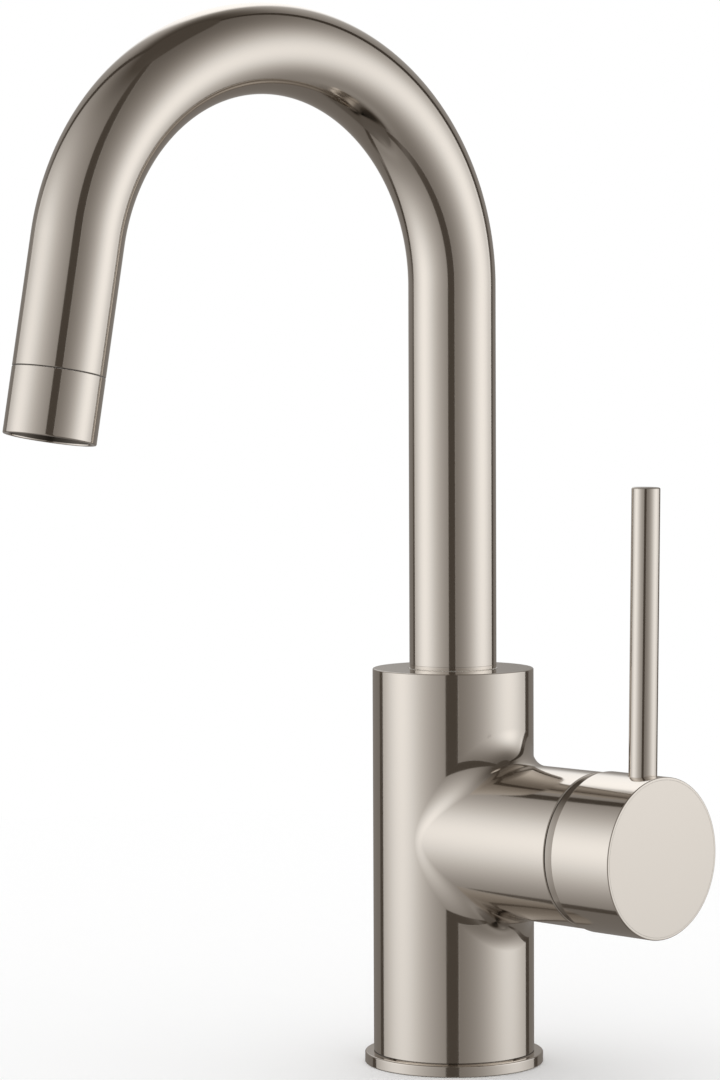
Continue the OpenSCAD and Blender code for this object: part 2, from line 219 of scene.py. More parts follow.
class Skin:
    """Faces gathered with a normal at each corner. Corners at the same place become one vertex.
    Faces added while shaded is set take the piece's second material, a dark copy of the nickel that
    paints shade on them."""

    join = 0.0005  # Millimetres within which two corners are at the same place

    def __init__(self):
        self.shaded = False
        self.shades = []
        self.points = []
        self.faces = []
        self.normals = []

    def face(self, corners):
        """Adds a face from (point, normal) pairs, turned so that it faces its normals."""
        p = [Vector(c[0]) for c in corners]
        n = [Vector(c[1]) for c in corners]
        facing = Vector((0, 0, 0))
        for i in range(1, len(p) - 1):
            facing += (p[i] - p[0]).cross(p[i + 1] - p[0])
        if facing.dot(sum(n, Vector((0, 0, 0)))) < 0:
            p.reverse()
            n.reverse()
        first = len(self.points)
        self.points += p
        self.faces.append(list(range(first, first + len(p))))
        self.normals.append(n)
        self.shades.append(int(self.shaded))

    def grid(self, rows, closed=False):
        """Skins rows of (point, normal) pairs. A closed grid joins its last row to its first."""
        count = len(rows)
        for i in range(count if closed else count - 1):
            a, b = rows[i], rows[(i + 1) % count]
            for j in range(len(a) - 1):
                self.face([a[j], b[j], b[j + 1], a[j + 1]])

    def made(self, name):
        """The mesh object in metres, with its vertices joined and its normals as given."""
        tree = KDTree(len(self.points))
        for i, p in enumerate(self.points):
            tree.insert(p, i)
        tree.balance()
        first_at = [-1] * len(self.points)
        vertices = []
        for i, p in enumerate(self.points):
            if first_at[i] < 0:
                for _, j, _ in tree.find_range(p, self.join):
                    if first_at[j] < 0:
                        first_at[j] = len(vertices)
                vertices.append(p * MM)
        faces, normals, shades = [], [], []
        for ids, ns, shade in zip(self.faces, self.normals, self.shades):
            kept = [(first_at[i], n) for i, n in zip(ids, ns)]
            kept = [c for k, c in enumerate(kept) if c[0] != kept[k - 1][0]]
            if len({c[0] for c in kept}) > 2:
                faces.append([c[0] for c in kept])
                normals += [c[1].normalized() for c in kept]
                shades.append(shade)
        mesh = bpy.data.meshes.new(name)
        mesh.from_pydata(vertices, [], faces)
        mesh.polygons.foreach_set("use_smooth", [True] * len(faces))
        mesh.polygons.foreach_set("material_index", shades)
        mesh.normals_split_custom_set(normals)
        mesh.update()
        piece = bpy.data.objects.new(name, mesh)
        bpy.context.scene.collection.objects.link(piece)
        return piece


# ---------------------------------------------------------------- profiles and turned skins

def line_run(a, b):
    """Straight stretch of a profile. Its material lies on the left."""
    along = (Vector(b) - Vector(a)).normalized()
    normal = (along.y, -along.x)
    return [(a, normal), (b, normal)]


def arc_run(centre, r, start, end, steps):
    """Round stretch of a profile, convex where it runs counterclockwise."""
    sign = 1 if end > start else -1
    run = []
    for k in range(steps + 1):
        a = start + (end - start) * k / steps
        place = (centre[0] + r * math.cos(a), centre[1] + r * math.sin(a))
        run.append((place, (sign * math.cos(a), sign * math.sin(a))))
    return run


def rounded(points, steps=6, closed=False):
    """Runs along points of (radius, height, rounding of the corner)."""
    count = len(points)
    corners = []
    for i, (x, y, r) in enumerate(points):
        here = Vector((x, y))
        at_end = not closed and i in (0, count - 1)
        if r == 0 or at_end:
            corners.append((here, here, None))
            continue
        back = (Vector(points[i - 1][:2]) - here).normalized()
        ahead = (Vector(points[(i + 1) % count][:2]) - here).normalized()
        half = back.angle(ahead) / 2
        centre = here + (back + ahead).normalized() * r / math.sin(half)
        reach = r / math.tan(half)
        corners.append((here + back * reach, here + ahead * reach, centre))
    runs = []
    for i, (start, end, centre) in enumerate(corners):
        if centre is not None:
            r = (start - centre).length
            a = math.atan2(start.y - centre.y, start.x - centre.x)
            b = math.atan2(end.y - centre.y, end.x - centre.x)
            b = a + (b - a + math.pi) % TURN - math.pi
            runs.append(arc_run(centre, r, a, b, steps))
        if closed or i < count - 1:
            runs.append(line_run(tuple(end), tuple(corners[(i + 1) % count][0])))
    return runs


def turned(skin, place, runs, around=AROUND):
    """Turns profile runs about the local Z of place."""
    spin = place.to_3x3()
    for run in runs:
        rows = []
        for k in range(around):
            a = TURN * k / around - math.pi
            c, s = math.cos(a), math.sin(a)
            rows.append([
                (place @ Vector((p[0] * c, p[0] * s, p[1])), spin @ Vector((n[0] * c, n[0] * s, n[1])))
                for p, n in run
            ])
        skin.grid(rows, closed=True)


def filled(skin, outer, holes, inside, lift):
    """Triangles over a flat outline with holes. lift turns a flat point into (point, normal)."""
    points = [Vector(p) for p in outer]
    edges = [(i, (i + 1) % len(outer)) for i in range(len(outer))]
    for hole in holes:
        first = len(points)
        points += [Vector(p) for p in hole]
        edges += [(first + i, first + (i + 1) % len(hole)) for i in range(len(hole))]
    points += [Vector(p) for p in inside]
    flat, _, triangles, _, _, _ = delaunay_2d_cdt(points, edges, [], 0, FLAT_JOIN)
    for triangle in triangles:
        middle = sum((flat[i] for i in triangle), Vector((0, 0))) / len(triangle)
        if encloses(outer, middle) and not any(encloses(h, middle) for h in holes):
            skin.face([lift(*flat[i]) for i in triangle])


def encloses(loop, p):
    """Whether a closed loop of flat points goes round p."""
    inside = False
    for i, b in enumerate(loop):
        a = loop[i - 1]
        if (a[1] > p[1]) != (b[1] > p[1]):
            if p[0] < a[0] + (b[0] - a[0]) * (p[1] - a[1]) / (b[1] - a[1]):
                inside = not inside
    return inside


def clear_of(loops, p, gap):
    """Whether p stands off every loop, outside it and by more than gap."""
    for loop in loops:
        if encloses(loop, p):
            return False
        if min((Vector(q) - Vector(p)).length for q in loop) < gap:
            return False
    return True


def wrapped(skin, r, low, high, holes, to_place, row_step=4.0):
    """Wall of radius r between two heights, with holes given as loops of (arc length, height)."""
    arc_step = TURN * r / AROUND
    rows = max(1, round((high - low) / row_step))
    heights = [low + (high - low) * k / rows for k in range(rows + 1)]
    arcs = [arc_step * k - math.pi * r for k in range(AROUND + 1)]
    outer = [(u, low) for u in arcs] + [(arcs[-1], v) for v in heights[1:-1]]
    outer += [(u, high) for u in reversed(arcs)] + [(arcs[0], v) for v in reversed(heights[1:-1])]
    between = [(u, v) for u in arcs[1:-1] for v in heights[1:-1]]
    inside = [p for p in between if clear_of(holes, p, 0.6 * arc_step)]

    def lift(u, v):
        """The wall's point and normal at an arc length and a height."""
        c, s = math.cos(u / r), math.sin(u / r)
        return to_place @ Vector((r * c, r * s, v)), to_place.to_3x3() @ Vector((c, s, 0))

    filled(skin, outer, holes, inside, lift)


def circle_loop(x, y, r, count=HOLE_AROUND, start=0.0):
    """Loop of flat points round (x, y)."""
    turns = [start + TURN * k / count for k in range(count)]
    return [(x + r * math.cos(a), y + r * math.sin(a)) for a in turns]


def tube_wall_between(skin, lower, upper, centre):
    """Wall of a hole from one loop of points to another, facing the hole's axis."""
    rows = []
    for a, b in zip(lower, upper):
        inward = centre - (a + b) / 2
        along = b - a
        normal = (inward - inward.project(along)).normalized()
        rows.append([(a, normal), (b, normal)])
    skin.grid(rows, closed=True)


# ---------------------------------------------------------------- places

UPRIGHT = Matrix.Identity(4)


def on_handle_axis():
    """Local Z runs along the handle's axis, from the middle of the body."""
    return Matrix(((0, 0, 1, 0), (1, 0, 0, 0), (0, 1, 0, axis_z), (0, 0, 0, 1)))


def on_lever():
    """Local Z runs up the lever from the handle's axis."""
    return Matrix.Translation((lever_x, 0, axis_z)) @ Matrix.Rotation(lever_lean, 4, "Y")


def spout_centre(turned_by):
    """Place on the gooseneck's centre line, its direction and its outward side, in the spout's plane."""
    s, c = math.sin(turned_by), math.cos(turned_by)
    return Vector((bend_r * (1 - c), 0, riser_top + bend_r * s)), Vector((s, 0, c)), Vector((-c, 0, s))


def on_leg(along=0.0):
    """Local Z runs down the outlet leg, from the end of the bend."""
    start, heading, outward = spout_centre(bend_angle)
    start = start + heading * along
    across = heading.cross(outward)
    flat = Matrix((outward, across, heading)).transposed().to_4x4()
    return Matrix.Rotation(spout_azimuth, 4, "Z") @ Matrix.Translation(start) @ flat


# ---------------------------------------------------------------- body and base

def ball_centre(t):
    """Centre of the ball that rolls in the corner of the body and the boss, at angle t about the boss."""
    y = (boss_r + blend_r) * math.cos(t)
    z = axis_z + (boss_r + blend_r) * math.sin(t)
    return Vector((math.sqrt((body_r + blend_r) ** 2 - y * y), y, z))


def blend_row(t):
    """Section of the round blend, from the body to the boss."""
    c = ball_centre(t)
    k = body_r / (body_r + blend_r)
    to_body = (Vector((c.x * k, c.y * k, c.z)) - c) / blend_r
    m = boss_r / (boss_r + blend_r)
    to_boss = (Vector((c.x, c.y * m, axis_z + (c.z - axis_z) * m)) - c) / blend_r
    directions = [to_body.slerp(to_boss, i / BLEND_STEPS) for i in range(BLEND_STEPS + 1)]
    return [(c + d * blend_r, -d) for d in directions]


def body_shell():
    """Upright body and side boss in one, with its socket, chamber and supply holes."""
    skin = Skin()
    angles = [TURN * k / AROUND - math.pi for k in range(AROUND)]
    blend = [blend_row(t) for t in angles]
    skin.grid(blend, closed=True)

    # The body's wall, open for the boss and for the screw at the back
    boss_hole = [(math.atan2(row[0][0].y, row[0][0].x) * body_r, row[0][0].z) for row in blend]
    screw_at = (math.pi / 2 * body_r, screw_z)
    screw_hole = circle_loop(*screw_at, screw_r + screw_rim, SCREW_HOLE_AROUND)
    screw_bore = circle_loop(*screw_at, screw_r + fit, SCREW_HOLE_AROUND)
    wrapped(skin, body_r, foot_z, body_top - body_edge, [boss_hole, screw_hole], UPRIGHT)

    def on_wall(u, v, r):
        """Point at radius r behind an arc length and a height of the wall."""
        a = u / body_r
        return Vector((r * math.cos(a), r * math.sin(a), v))

    rim = [on_wall(u, v, body_r) for u, v in screw_hole]
    bore = [on_wall(u, v, body_r - screw_rim_depth) for u, v in screw_bore]
    floor = [Vector((p.x, screw_hole_end, p.z)) for p in bore]
    tube_wall_between(skin, rim, bore, Vector((0, body_r, screw_z)))
    tube_wall_between(skin, bore, floor, Vector((0, socket_r, screw_z)))

    # Top, socket and underside
    turned(skin, UPRIGHT, rounded([
        (body_r, body_top - body_edge, 0), (body_r, body_top, body_edge * NEARLY),
        (bush_lip_r, body_top, mouth_edge), (bush_lip_r, bush_lip_floor, 0),
        (socket_r, bush_lip_floor, 0), (socket_r, socket_floor, 0), (0, socket_floor, 0)
    ]))
    turned(skin, UPRIGHT, [
        line_run((land_r, foot_z), (body_r, foot_z)),
        line_run((spigot_r, foot_z), (land_r, foot_z)),
        line_run((spigot_r, 0), (spigot_r, foot_z))
    ])
    holes = [circle_loop(*stud_hole)] + [circle_loop(*hole) for hole in port_holes]
    rim = [(spigot_r * math.cos(a), spigot_r * math.sin(a)) for a in angles]
    filled(skin, rim, holes, [], lambda x, y: (Vector((x, y, 0)), Vector((0, 0, -1))))
    for x, y, r in [stud_hole] + port_holes:
        turned(skin, Matrix.Translation((x, y, 0)), [
            line_run((r, hole_depth), (r, 0)), line_run((0, hole_depth), (r, hole_depth))
        ], HOLE_AROUND)

    # The boss, from the blend's edge to its front face and chamber
    front = boss_end - body_edge
    rows = []
    for row in blend:
        start, normal = row[-1]
        stops = [start.x + (front - start.x) * k / BOSS_STEPS for k in range(BOSS_STEPS + 1)]
        rows.append([(Vector((x, start.y, start.z)), normal) for x in stops])
    skin.grid(rows, closed=True)
    turned(skin, on_handle_axis(), rounded([
        (boss_r, front, 0), (boss_r, boss_end, body_edge * NEARLY),
        (mouth_r, boss_end, mouth_edge), (mouth_r, mouth_back, 0), (chamber_r, mouth_back, 0),
        (chamber_r, seat_x, 0), (0, seat_x, 0)
    ]))
    return skin.made("body_shell")


def base_ring():
    """Thin round base with a soft upper edge. Its bore and the shadow gap over it get painted shade from
    the dark copy of the nickel.
    """
    skin = Skin()
    turned(skin, UPRIGHT, rounded([
        (spigot_r + fit, 0, 0), (base_r, 0, base_low_edge),
        (base_r, base_top, base_top_edge), (body_r, base_top, 0)
    ], steps=8))
    # Painted shade: the bore and the gap under the body take the dark copy of the nickel
    skin.shaded = True
    turned(skin, UPRIGHT, rounded([
        (body_r, base_top, 0), (land_r, base_top, 0), (land_r, foot_z, 0),
        (spigot_r + fit, foot_z, 0), (spigot_r + fit, 0, 0)
    ]))
    return skin.made("base_ring_skin")


def slip_ring():
    """Thin ring under the foot of the riser, with a fine groove below it."""
    skin = Skin()
    turned(skin, UPRIGHT, rounded([
        (slip_bore_r, slip_low.z, 0), (slip_foot_r, slip_low.z, 0),
        (slip_foot_r, slip_low.z + slip_groove, 0), (tube_r, slip_low.z + slip_groove, slip_low_edge),
        (tube_r, slip_high.z, slip_top_edge), (slip_bore_r, slip_high.z, 0)
    ], closed=True))
    return skin.made("riser_slip_ring")


def set_screw(name, place, length, tip_len):
    """Socket set screw. Local Z runs from its tip to its socket."""
    skin = Skin()
    turned(skin, place, rounded([
        (0, 0, 0), (screw_tip_r, 0, screw_edge), (screw_tip_r, tip_len, 0),
        (screw_r, tip_len, screw_edge), (screw_r, length, screw_top_edge), (screw_face_r, length, 0)
    ]), SCREW_AROUND)
    outer = circle_loop(0, 0, screw_face_r, SCREW_AROUND, -math.pi)
    hexagon = circle_loop(0, 0, screw_hex_r, 6)
    up = place.to_3x3() @ Vector((0, 0, 1))
    filled(skin, outer, [hexagon], [], lambda x, y: (place @ Vector((x, y, length)), up))
    floor = length - screw_hex_depth
    for i, b in enumerate(hexagon):
        a = hexagon[i - 1]
        inward = place.to_3x3() @ Vector((-(a[0] + b[0]), -(a[1] + b[1]), 0)).normalized()
        wall = ((a, floor), (b, floor), (b, length), (a, length))
        skin.face([(place @ Vector((*p, h)), inward) for p, h in wall])
    skin.face([(place @ Vector((*p, floor)), up) for p in hexagon])
    return skin.made(name)


# ---------------------------------------------------------------- handle

def bonnet_ring():
    """Domed ring that closes the boss and lets the hub tilt over it."""
    skin = Skin()
    start = math.acos((bonnet_seat - pivot_x) / dome_r)
    end = math.acos((bonnet_front - pivot_x) / dome_r)
    seat_r = dome_r * math.sin(start)
    nose_r = dome_r * math.sin(end)
    dome = []
    for k in range(DOME_STEPS + 1):
        a = start + (end - start) * k / DOME_STEPS
        s, c = math.sin(a), math.cos(a)
        dome.append(((dome_r * s, pivot_x + dome_r * c), (s, c)))
    turned(skin, on_handle_axis(), [
        line_run((bonnet_bore_r, bonnet_back), (mouth_r - fit, bonnet_back)),
        line_run((mouth_r - fit, bonnet_back), (mouth_r - fit, bonnet_seat)),
        line_run((mouth_r - fit, bonnet_seat), (seat_r, bonnet_seat)),
        dome,
        line_run((nose_r, bonnet_front), (bonnet_mouth_r, bonnet_front)),
        line_run((bonnet_mouth_r, bonnet_front), (bonnet_mouth_r, bonnet_bore_end)),
        line_run((bonnet_mouth_r, bonnet_bore_end), (bonnet_bore_r, bonnet_bore_end)),
        line_run((bonnet_bore_r, bonnet_bore_end), (bonnet_bore_r, bonnet_back))
    ])
    return skin.made("bonnet_dome")


def pierced(origin, direction, r, wall_r):
    """Loop where a round hole of radius r along direction comes out of a wall round the hub's axis."""
    side = Vector((0, 1, 0))
    across = side.cross(direction).normalized()
    loop = []
    for k in range(SCREW_AROUND):
        a = TURN * k / SCREW_AROUND
        start = origin + across * (r * math.cos(a)) + side * (r * math.sin(a))
        rise = math.sqrt(wall_r ** 2 - start.y ** 2) * (1 if direction.z > 0 else -1)
        t = (rise - (start.z - axis_z)) / direction.z
        loop.append(start + direction * t)
    return loop


def flat_on_hub(loop):
    """A loop on the hub's wall as (arc length, height) points of its unrolled wall."""
    return [(math.atan2(p.z - axis_z, p.y) * hub_r, p.x) for p in loop]


def hub_shell():
    """Round hub, bored behind, with a recess for its cap and holes for the lever and the set screw."""
    skin = Skin()
    up = on_lever().to_3x3() @ Vector((0, 0, 1))
    lever_origin = Vector((lever_x, 0, axis_z))
    grub_origin = Vector((grub_x, 0, axis_z))
    down = Vector((0, 0, -1))
    holes = []
    for origin, way, r, rim, deep in (
        (lever_origin, up, lever_r + fit, lever_rim, lever_hole_floor),
        (grub_origin, down, screw_r + fit, grub_rim, post_r + fit),
    ):
        wall = pierced(origin, way, r + rim, hub_r)
        bore = pierced(origin, way, r, hub_r - rim)
        floor = [p + way * (deep - (p - origin).dot(way)) for p in bore]
        tube_wall_between(skin, wall, bore, origin + way * hub_r)
        tube_wall_between(skin, bore, floor, origin + way * (hub_r + deep) / 2)
        centre = origin + way * deep
        for i, p in enumerate(floor):
            skin.face([(centre, way), (floor[i - 1], way), (p, way)])
        holes.append(flat_on_hub(wall))
    wrapped(
        skin, hub_r, hub_back + hub_edge, hub_face - hub_edge, holes, on_handle_axis(), row_step=1.2)

    # Faces turned about the handle's axis: front and cap recess, rear edge, hollow, hole for the stem
    hollow_edge = math.sqrt(hub_hollow_r ** 2 - (hub_bore_end - pivot_x) ** 2)
    first = math.atan2(hub_bore_end - pivot_x, hollow_edge)
    last = math.acos((post_r + fit) / hub_hollow_r)
    hollow = arc_run((0, pivot_x), hub_hollow_r, last, first, HOLLOW_STEPS)
    runs = rounded([
        (hub_r, hub_face - hub_edge, 0), (hub_r, hub_face, hub_edge * NEARLY),
        (recess_r, hub_face, recess_edge), (recess_r, cap_back - fit, 0), (0, cap_back - fit, 0)
    ])
    runs += rounded([
        (hub_bore_r, hub_bore_end, 0), (hub_bore_r, hub_back, hub_mouth_edge),
        (hub_r, hub_back, hub_edge * NEARLY), (hub_r, hub_back + hub_edge, 0)
    ])
    runs += [line_run((hollow_edge, hub_bore_end), (hub_bore_r, hub_bore_end)), hollow]
    runs += [
        line_run((post_r + fit, post_end), hollow[0][0]),
        line_run((0, post_end), (post_r + fit, post_end))
    ]
    turned(skin, on_handle_axis(), runs)
    return skin.made("hub_shell")


def hub_cap():
    """Plain flat cap in the hub's face."""
    skin = Skin()
    turned(skin, on_handle_axis(), rounded([
        (0, cap_back, 0), (cap_r, cap_back, cap_back_edge), (cap_r, hub_face, cap_edge), (0, hub_face, 0)
    ], steps=8))
    return skin.made("hub_face_cap")


def lever_foot_piece():
    """Lowest stretch of the straight round lever, in its hole and just above the hub."""
    skin = Skin()
    turned(skin, on_lever(), rounded([
        (0, lever_foot, 0), (lever_r, lever_foot, lever_foot_edge), (lever_r, lever_split, 0)
    ], steps=10), LEVER_AROUND)
    return skin.made("lever_foot_skin")


def lever_rod():
    """The rest of the lever, with a softly rounded tip."""
    skin = Skin()
    turned(skin, on_lever(), rounded([
        (lever_r, lever_split, 0), (lever_r, lever_len, lever_edge), (0, lever_len, 0)
    ], steps=10), LEVER_AROUND)
    return skin.made("lever_skin")


# ---------------------------------------------------------------- spout

def tube_rings(skin, stations):
    """Skin of a round tube through stations of (place, heading, outward side, radius, facing).
    Facing gives how far the wall faces outward and how far it faces ahead."""
    turn_to = Matrix.Rotation(spout_azimuth, 3, "Z")
    across = Vector((0, 1, 0))
    rows = []
    for k in range(TUBE_AROUND):
        a = TURN * k / TUBE_AROUND
        row = []
        for place, heading, outward, r, facing in stations:
            side = outward * math.cos(a) + across * math.sin(a)
            normal = side * facing[0] + heading * facing[1]
            row.append((turn_to @ (place + side * r), turn_to @ normal))
        rows.append(row)
    skin.grid(rows, closed=True)


def spout_stations(r, start, end, facing):
    """Stations from height start on the riser, round the bend, to end along the leg."""
    up, out = Vector((0, 0, 1)), Vector((-1, 0, 0))
    stations = [
        (Vector((0, 0, start + (riser_top - start) * k / RISER_STATIONS)), up, out, r, facing)
        for k in range(RISER_STATIONS)
    ]
    for k in range(BEND_STATIONS + 1):
        place, heading, outward = spout_centre(bend_angle * k / BEND_STATIONS)
        stations.append((place, heading, outward, r, facing))
    place, heading, outward = spout_centre(bend_angle)
    for k in range(1, LEG_STATIONS + 1):
        stations.append((place + heading * (end * k / LEG_STATIONS), heading, outward, r, facing))
    return stations


def rim_stations(place, heading, outward, side, edge):
    """Rounded rim from the outer wall to the end face. side is 1 where the tube ends ahead, -1 behind."""
    stations = []
    for k in range(RIM_STEPS + 1):
        a = math.pi / 2 * k / RIM_STEPS
        r = tube_r - edge + edge * math.cos(a)
        shift = heading * (side * (edge * math.sin(a) - edge))
        stations.append((place + shift, heading, outward, r, (math.cos(a), side * math.sin(a))))
    return stations


def riser_skin():
    """Riser of the drawn tube, and its bend as far as the split near the crown."""
    skin = Skin()
    inner = tube_r - tube_wall
    up, out = Vector((0, 0, 1)), Vector((-1, 0, 0))
    foot = Vector((0, 0, tube_foot))
    tube_rings(skin, spout_stations(tube_r, tube_foot + tube_edge, 0, (1, 0))[:SPLIT_STATION + 1])
    tube_rings(skin, spout_stations(inner, tube_foot, 0, (-1, 0))[:SPLIT_STATION + 1])
    tube_rings(skin, rim_stations(foot, up, out, -1, tube_edge))
    tube_rings(skin, [(foot, up, out, tube_r - tube_edge, (0, -1)), (foot, up, out, inner, (0, -1))])
    return skin.made("riser_skin")


def outlet_bend():
    """The rest of the bend and the outlet leg, in the same drawn tube."""
    skin = Skin()
    inner = tube_r - tube_wall
    end = leg_len - sleeve_len
    place, heading, outward = spout_centre(bend_angle)
    tip = place + heading * end
    tube_rings(skin, spout_stations(tube_r, tube_foot, end - seam_edge, (1, 0))[SPLIT_STATION:])
    tube_rings(skin, spout_stations(inner, tube_foot, end, (-1, 0))[SPLIT_STATION:])
    tube_rings(skin, rim_stations(tip, heading, outward, 1, seam_edge))
    # Painted shade: the tube's end face in the seam takes the dark copy of the nickel
    skin.shaded = True
    tube_rings(skin, [
        (tip, heading, outward, tube_r - seam_edge, (0, 1)), (tip, heading, outward, inner, (0, 1))
    ])
    return skin.made("outlet_bend_skin")


def outlet_sleeve():
    """Short sleeve at the outlet. Its seam, its spigot up in the tube and its bore get painted shade from
    the dark copy of the nickel.
    """
    skin = Skin()
    start = leg_len - sleeve_len
    seam_foot_r = tube_r - 2 * seam_edge
    turned(skin, on_leg(), rounded([
        (seam_foot_r, start + seam, 0), (tube_r, start + seam, seam_edge), (tube_r, leg_len, outlet_edge),
        (sleeve_bore_r, leg_len, sleeve_bore_edge), (sleeve_bore_r, leg_len - sleeve_lip, 0)
    ]))
    # Painted shade: the seam, the spigot and the bore take the dark copy of the nickel
    skin.shaded = True
    turned(skin, on_leg(), rounded([
        (sleeve_bore_r, leg_len - sleeve_lip, 0), (sleeve_bore_r, aerator_at, 0),
        (spigot_in_r, aerator_at, 0), (spigot_in_r, start - spigot_rise, 0),
        (spigot_out_r, start - spigot_rise, 0), (spigot_out_r, start + seam, 0),
        (seam_foot_r, start + seam, 0)
    ]))
    return skin.made("sleeve_skin")


def aerator_grid():
    """Honeycomb grid in the outlet, with a raised rim."""
    skin = Skin()
    place = on_leg(grid_at)
    floor_h = grid_t - grid_rim_h
    angles = [TURN * k / AROUND - math.pi for k in range(AROUND)]
    cells = []
    for i in range(-grid_rings, grid_rings + 1):
        for j in range(-grid_rings, grid_rings + 1):
            if abs(i + j) <= grid_rings:
                centre = (grid_pitch * (i + j / 2), grid_pitch * j * math.sin(math.radians(60)))
                cells.append(circle_loop(*centre, grid_hole_r, 6, math.radians(30)))
    outer = [(grid_rim_r * math.cos(a), grid_rim_r * math.sin(a)) for a in angles]
    for height, facing in ((floor_h, 1), (0, -1)):
        up = place.to_3x3() @ Vector((0, 0, facing))
        filled(skin, outer, cells, [], lambda x, y: (place @ Vector((x, y, height)), up))
    for cell in cells:
        for i, b in enumerate(cell):
            a = cell[i - 1]
            middle = Vector((sum(p[0] for p in cell) / 6, sum(p[1] for p in cell) / 6))
            inward = place.to_3x3() @ Vector((*(middle - (Vector(a) + Vector(b)) / 2), 0)).normalized()
            wall = ((a, 0), (b, 0), (b, floor_h), (a, floor_h))
            skin.face([(place @ Vector((*p, h)), inward) for p, h in wall])
    turned(skin, place, rounded([
        (grid_rim_r, 0, 0), (aerator_r, 0, 0), (aerator_r, grid_t, grid_edge),
        (grid_rim_r + grid_rim_slope, grid_t, grid_edge), (grid_rim_r, floor_h, 0)
    ]))
    return skin.made("aerator_honeycomb")


# ---------------------------------------------------------------- shader effects

HAZE_SCALE = 60.0
TONE_SCALE = 20.0
WAVE_PITCH = 0.31  # About how many metres lie between two bands of a wave texture of scale 1


def effect(name, inputs, outputs):
    """Empty node group with value or colour sockets, and its two end nodes."""
    kinds = {"value": "NodeSocketFloat", "colour": "NodeSocketColor"}
    group = bpy.data.node_groups.new(name, "ShaderNodeTree")
    for label, kind, start in inputs:
        socket = group.interface.new_socket(label, in_out="INPUT", socket_type=kinds[kind])
        socket.default_value = start
    for label, kind in outputs:
        group.interface.new_socket(label, in_out="OUTPUT", socket_type=kinds[kind])
    return group, group.nodes.new("NodeGroupInput"), group.nodes.new("NodeGroupOutput")


def node(tree, kind, **settings):
    """New node with its settings, and its inputs set where a name matches one."""
    made = tree.nodes.new(kind)
    for key, value in settings.items():
        if hasattr(made, key):
            setattr(made, key, value)
        else:
            made.inputs[key.replace("_", " ").title()].default_value = value
    return made


def polish_haze():
    """Roughness that drifts a little over a polished face, as a buffing wheel leaves it."""
    group, given, out = effect(
        "polish_haze",
        [("Scale", "value", 60.0), ("Low", "value", 0.08), ("High", "value", 0.14)],
        [("Roughness", "value")],
    )
    place = node(group, "ShaderNodeTexCoord")
    noise = node(group, "ShaderNodeTexNoise", detail=4.0, roughness=0.6)
    spread = node(group, "ShaderNodeMapRange")
    spread.inputs["From Min"].default_value = 0.3
    spread.inputs["From Max"].default_value = 0.7
    group.links.new(place.outputs["Object"], noise.inputs["Vector"])
    group.links.new(given.outputs["Scale"], noise.inputs["Scale"])
    group.links.new(noise.outputs["Fac"], spread.inputs["Value"])
    group.links.new(given.outputs["Low"], spread.inputs["To Min"])
    group.links.new(given.outputs["High"], spread.inputs["To Max"])
    group.links.new(spread.outputs["Result"], out.inputs["Roughness"])
    return group


def tone_drift():
    """Colour that wanders between two close tones."""
    group, given, out = effect(
        "tone_drift",
        [("Scale", "value", 20.0), ("Tone A", "colour", (0.7, 0.7, 0.7, 1)),
         ("Tone B", "colour", (0.6, 0.6, 0.6, 1))],
        [("Colour", "colour")],
    )
    place = node(group, "ShaderNodeTexCoord")
    noise = node(group, "ShaderNodeTexNoise", detail=3.0)
    mix = node(group, "ShaderNodeMix", data_type="RGBA")
    group.links.new(place.outputs["Object"], noise.inputs["Vector"])
    group.links.new(given.outputs["Scale"], noise.inputs["Scale"])
    group.links.new(noise.outputs["Fac"], mix.inputs["Factor"])
    group.links.new(given.outputs["Tone A"], mix.inputs[6])
    group.links.new(given.outputs["Tone B"], mix.inputs[7])
    group.links.new(mix.outputs[2], out.inputs["Colour"])
    return group


def fine_grain():
    """Height of a fine even grain, as on moulded plastic, cast rubber or a blasted face."""
    group, given, out = effect("fine_grain", [("Scale", "value", 3000.0)], [("Height", "value")])
    place = node(group, "ShaderNodeTexCoord")
    noise = node(group, "ShaderNodeTexNoise", detail=2.0)
    group.links.new(place.outputs["Object"], noise.inputs["Vector"])
    group.links.new(given.outputs["Scale"], noise.inputs["Scale"])
    group.links.new(noise.outputs["Fac"], out.inputs["Height"])
    return group


def tool_marks():
    """Height of fine slightly wavy lines, as a cutting tool leaves them."""
    group, given, out = effect("tool_marks", [("Pitch", "value", 0.0002)], [("Height", "value")])
    place = node(group, "ShaderNodeTexCoord")
    wave = node(group, "ShaderNodeTexWave", wave_type="BANDS", bands_direction="DIAGONAL", distortion=1.5)
    per_metre = node(group, "ShaderNodeMath", operation="DIVIDE")
    per_metre.inputs[0].default_value = WAVE_PITCH
    group.links.new(given.outputs["Pitch"], per_metre.inputs[1])
    group.links.new(per_metre.outputs["Value"], wave.inputs["Scale"])
    group.links.new(place.outputs["Object"], wave.inputs["Vector"])
    group.links.new(wave.outputs["Fac"], out.inputs["Height"])
    return group


EFFECTS = {make.__name__: make() for make in (polish_haze, tone_drift, fine_grain, tool_marks)}


def placed(tree, name, **values):
    """An effect in a material, with its own values."""
    made = tree.nodes.new("ShaderNodeGroup")
    made.node_tree = EFFECTS[name]
    for key, value in values.items():
        made.inputs[key.replace("_", " ")].default_value = value
    return made


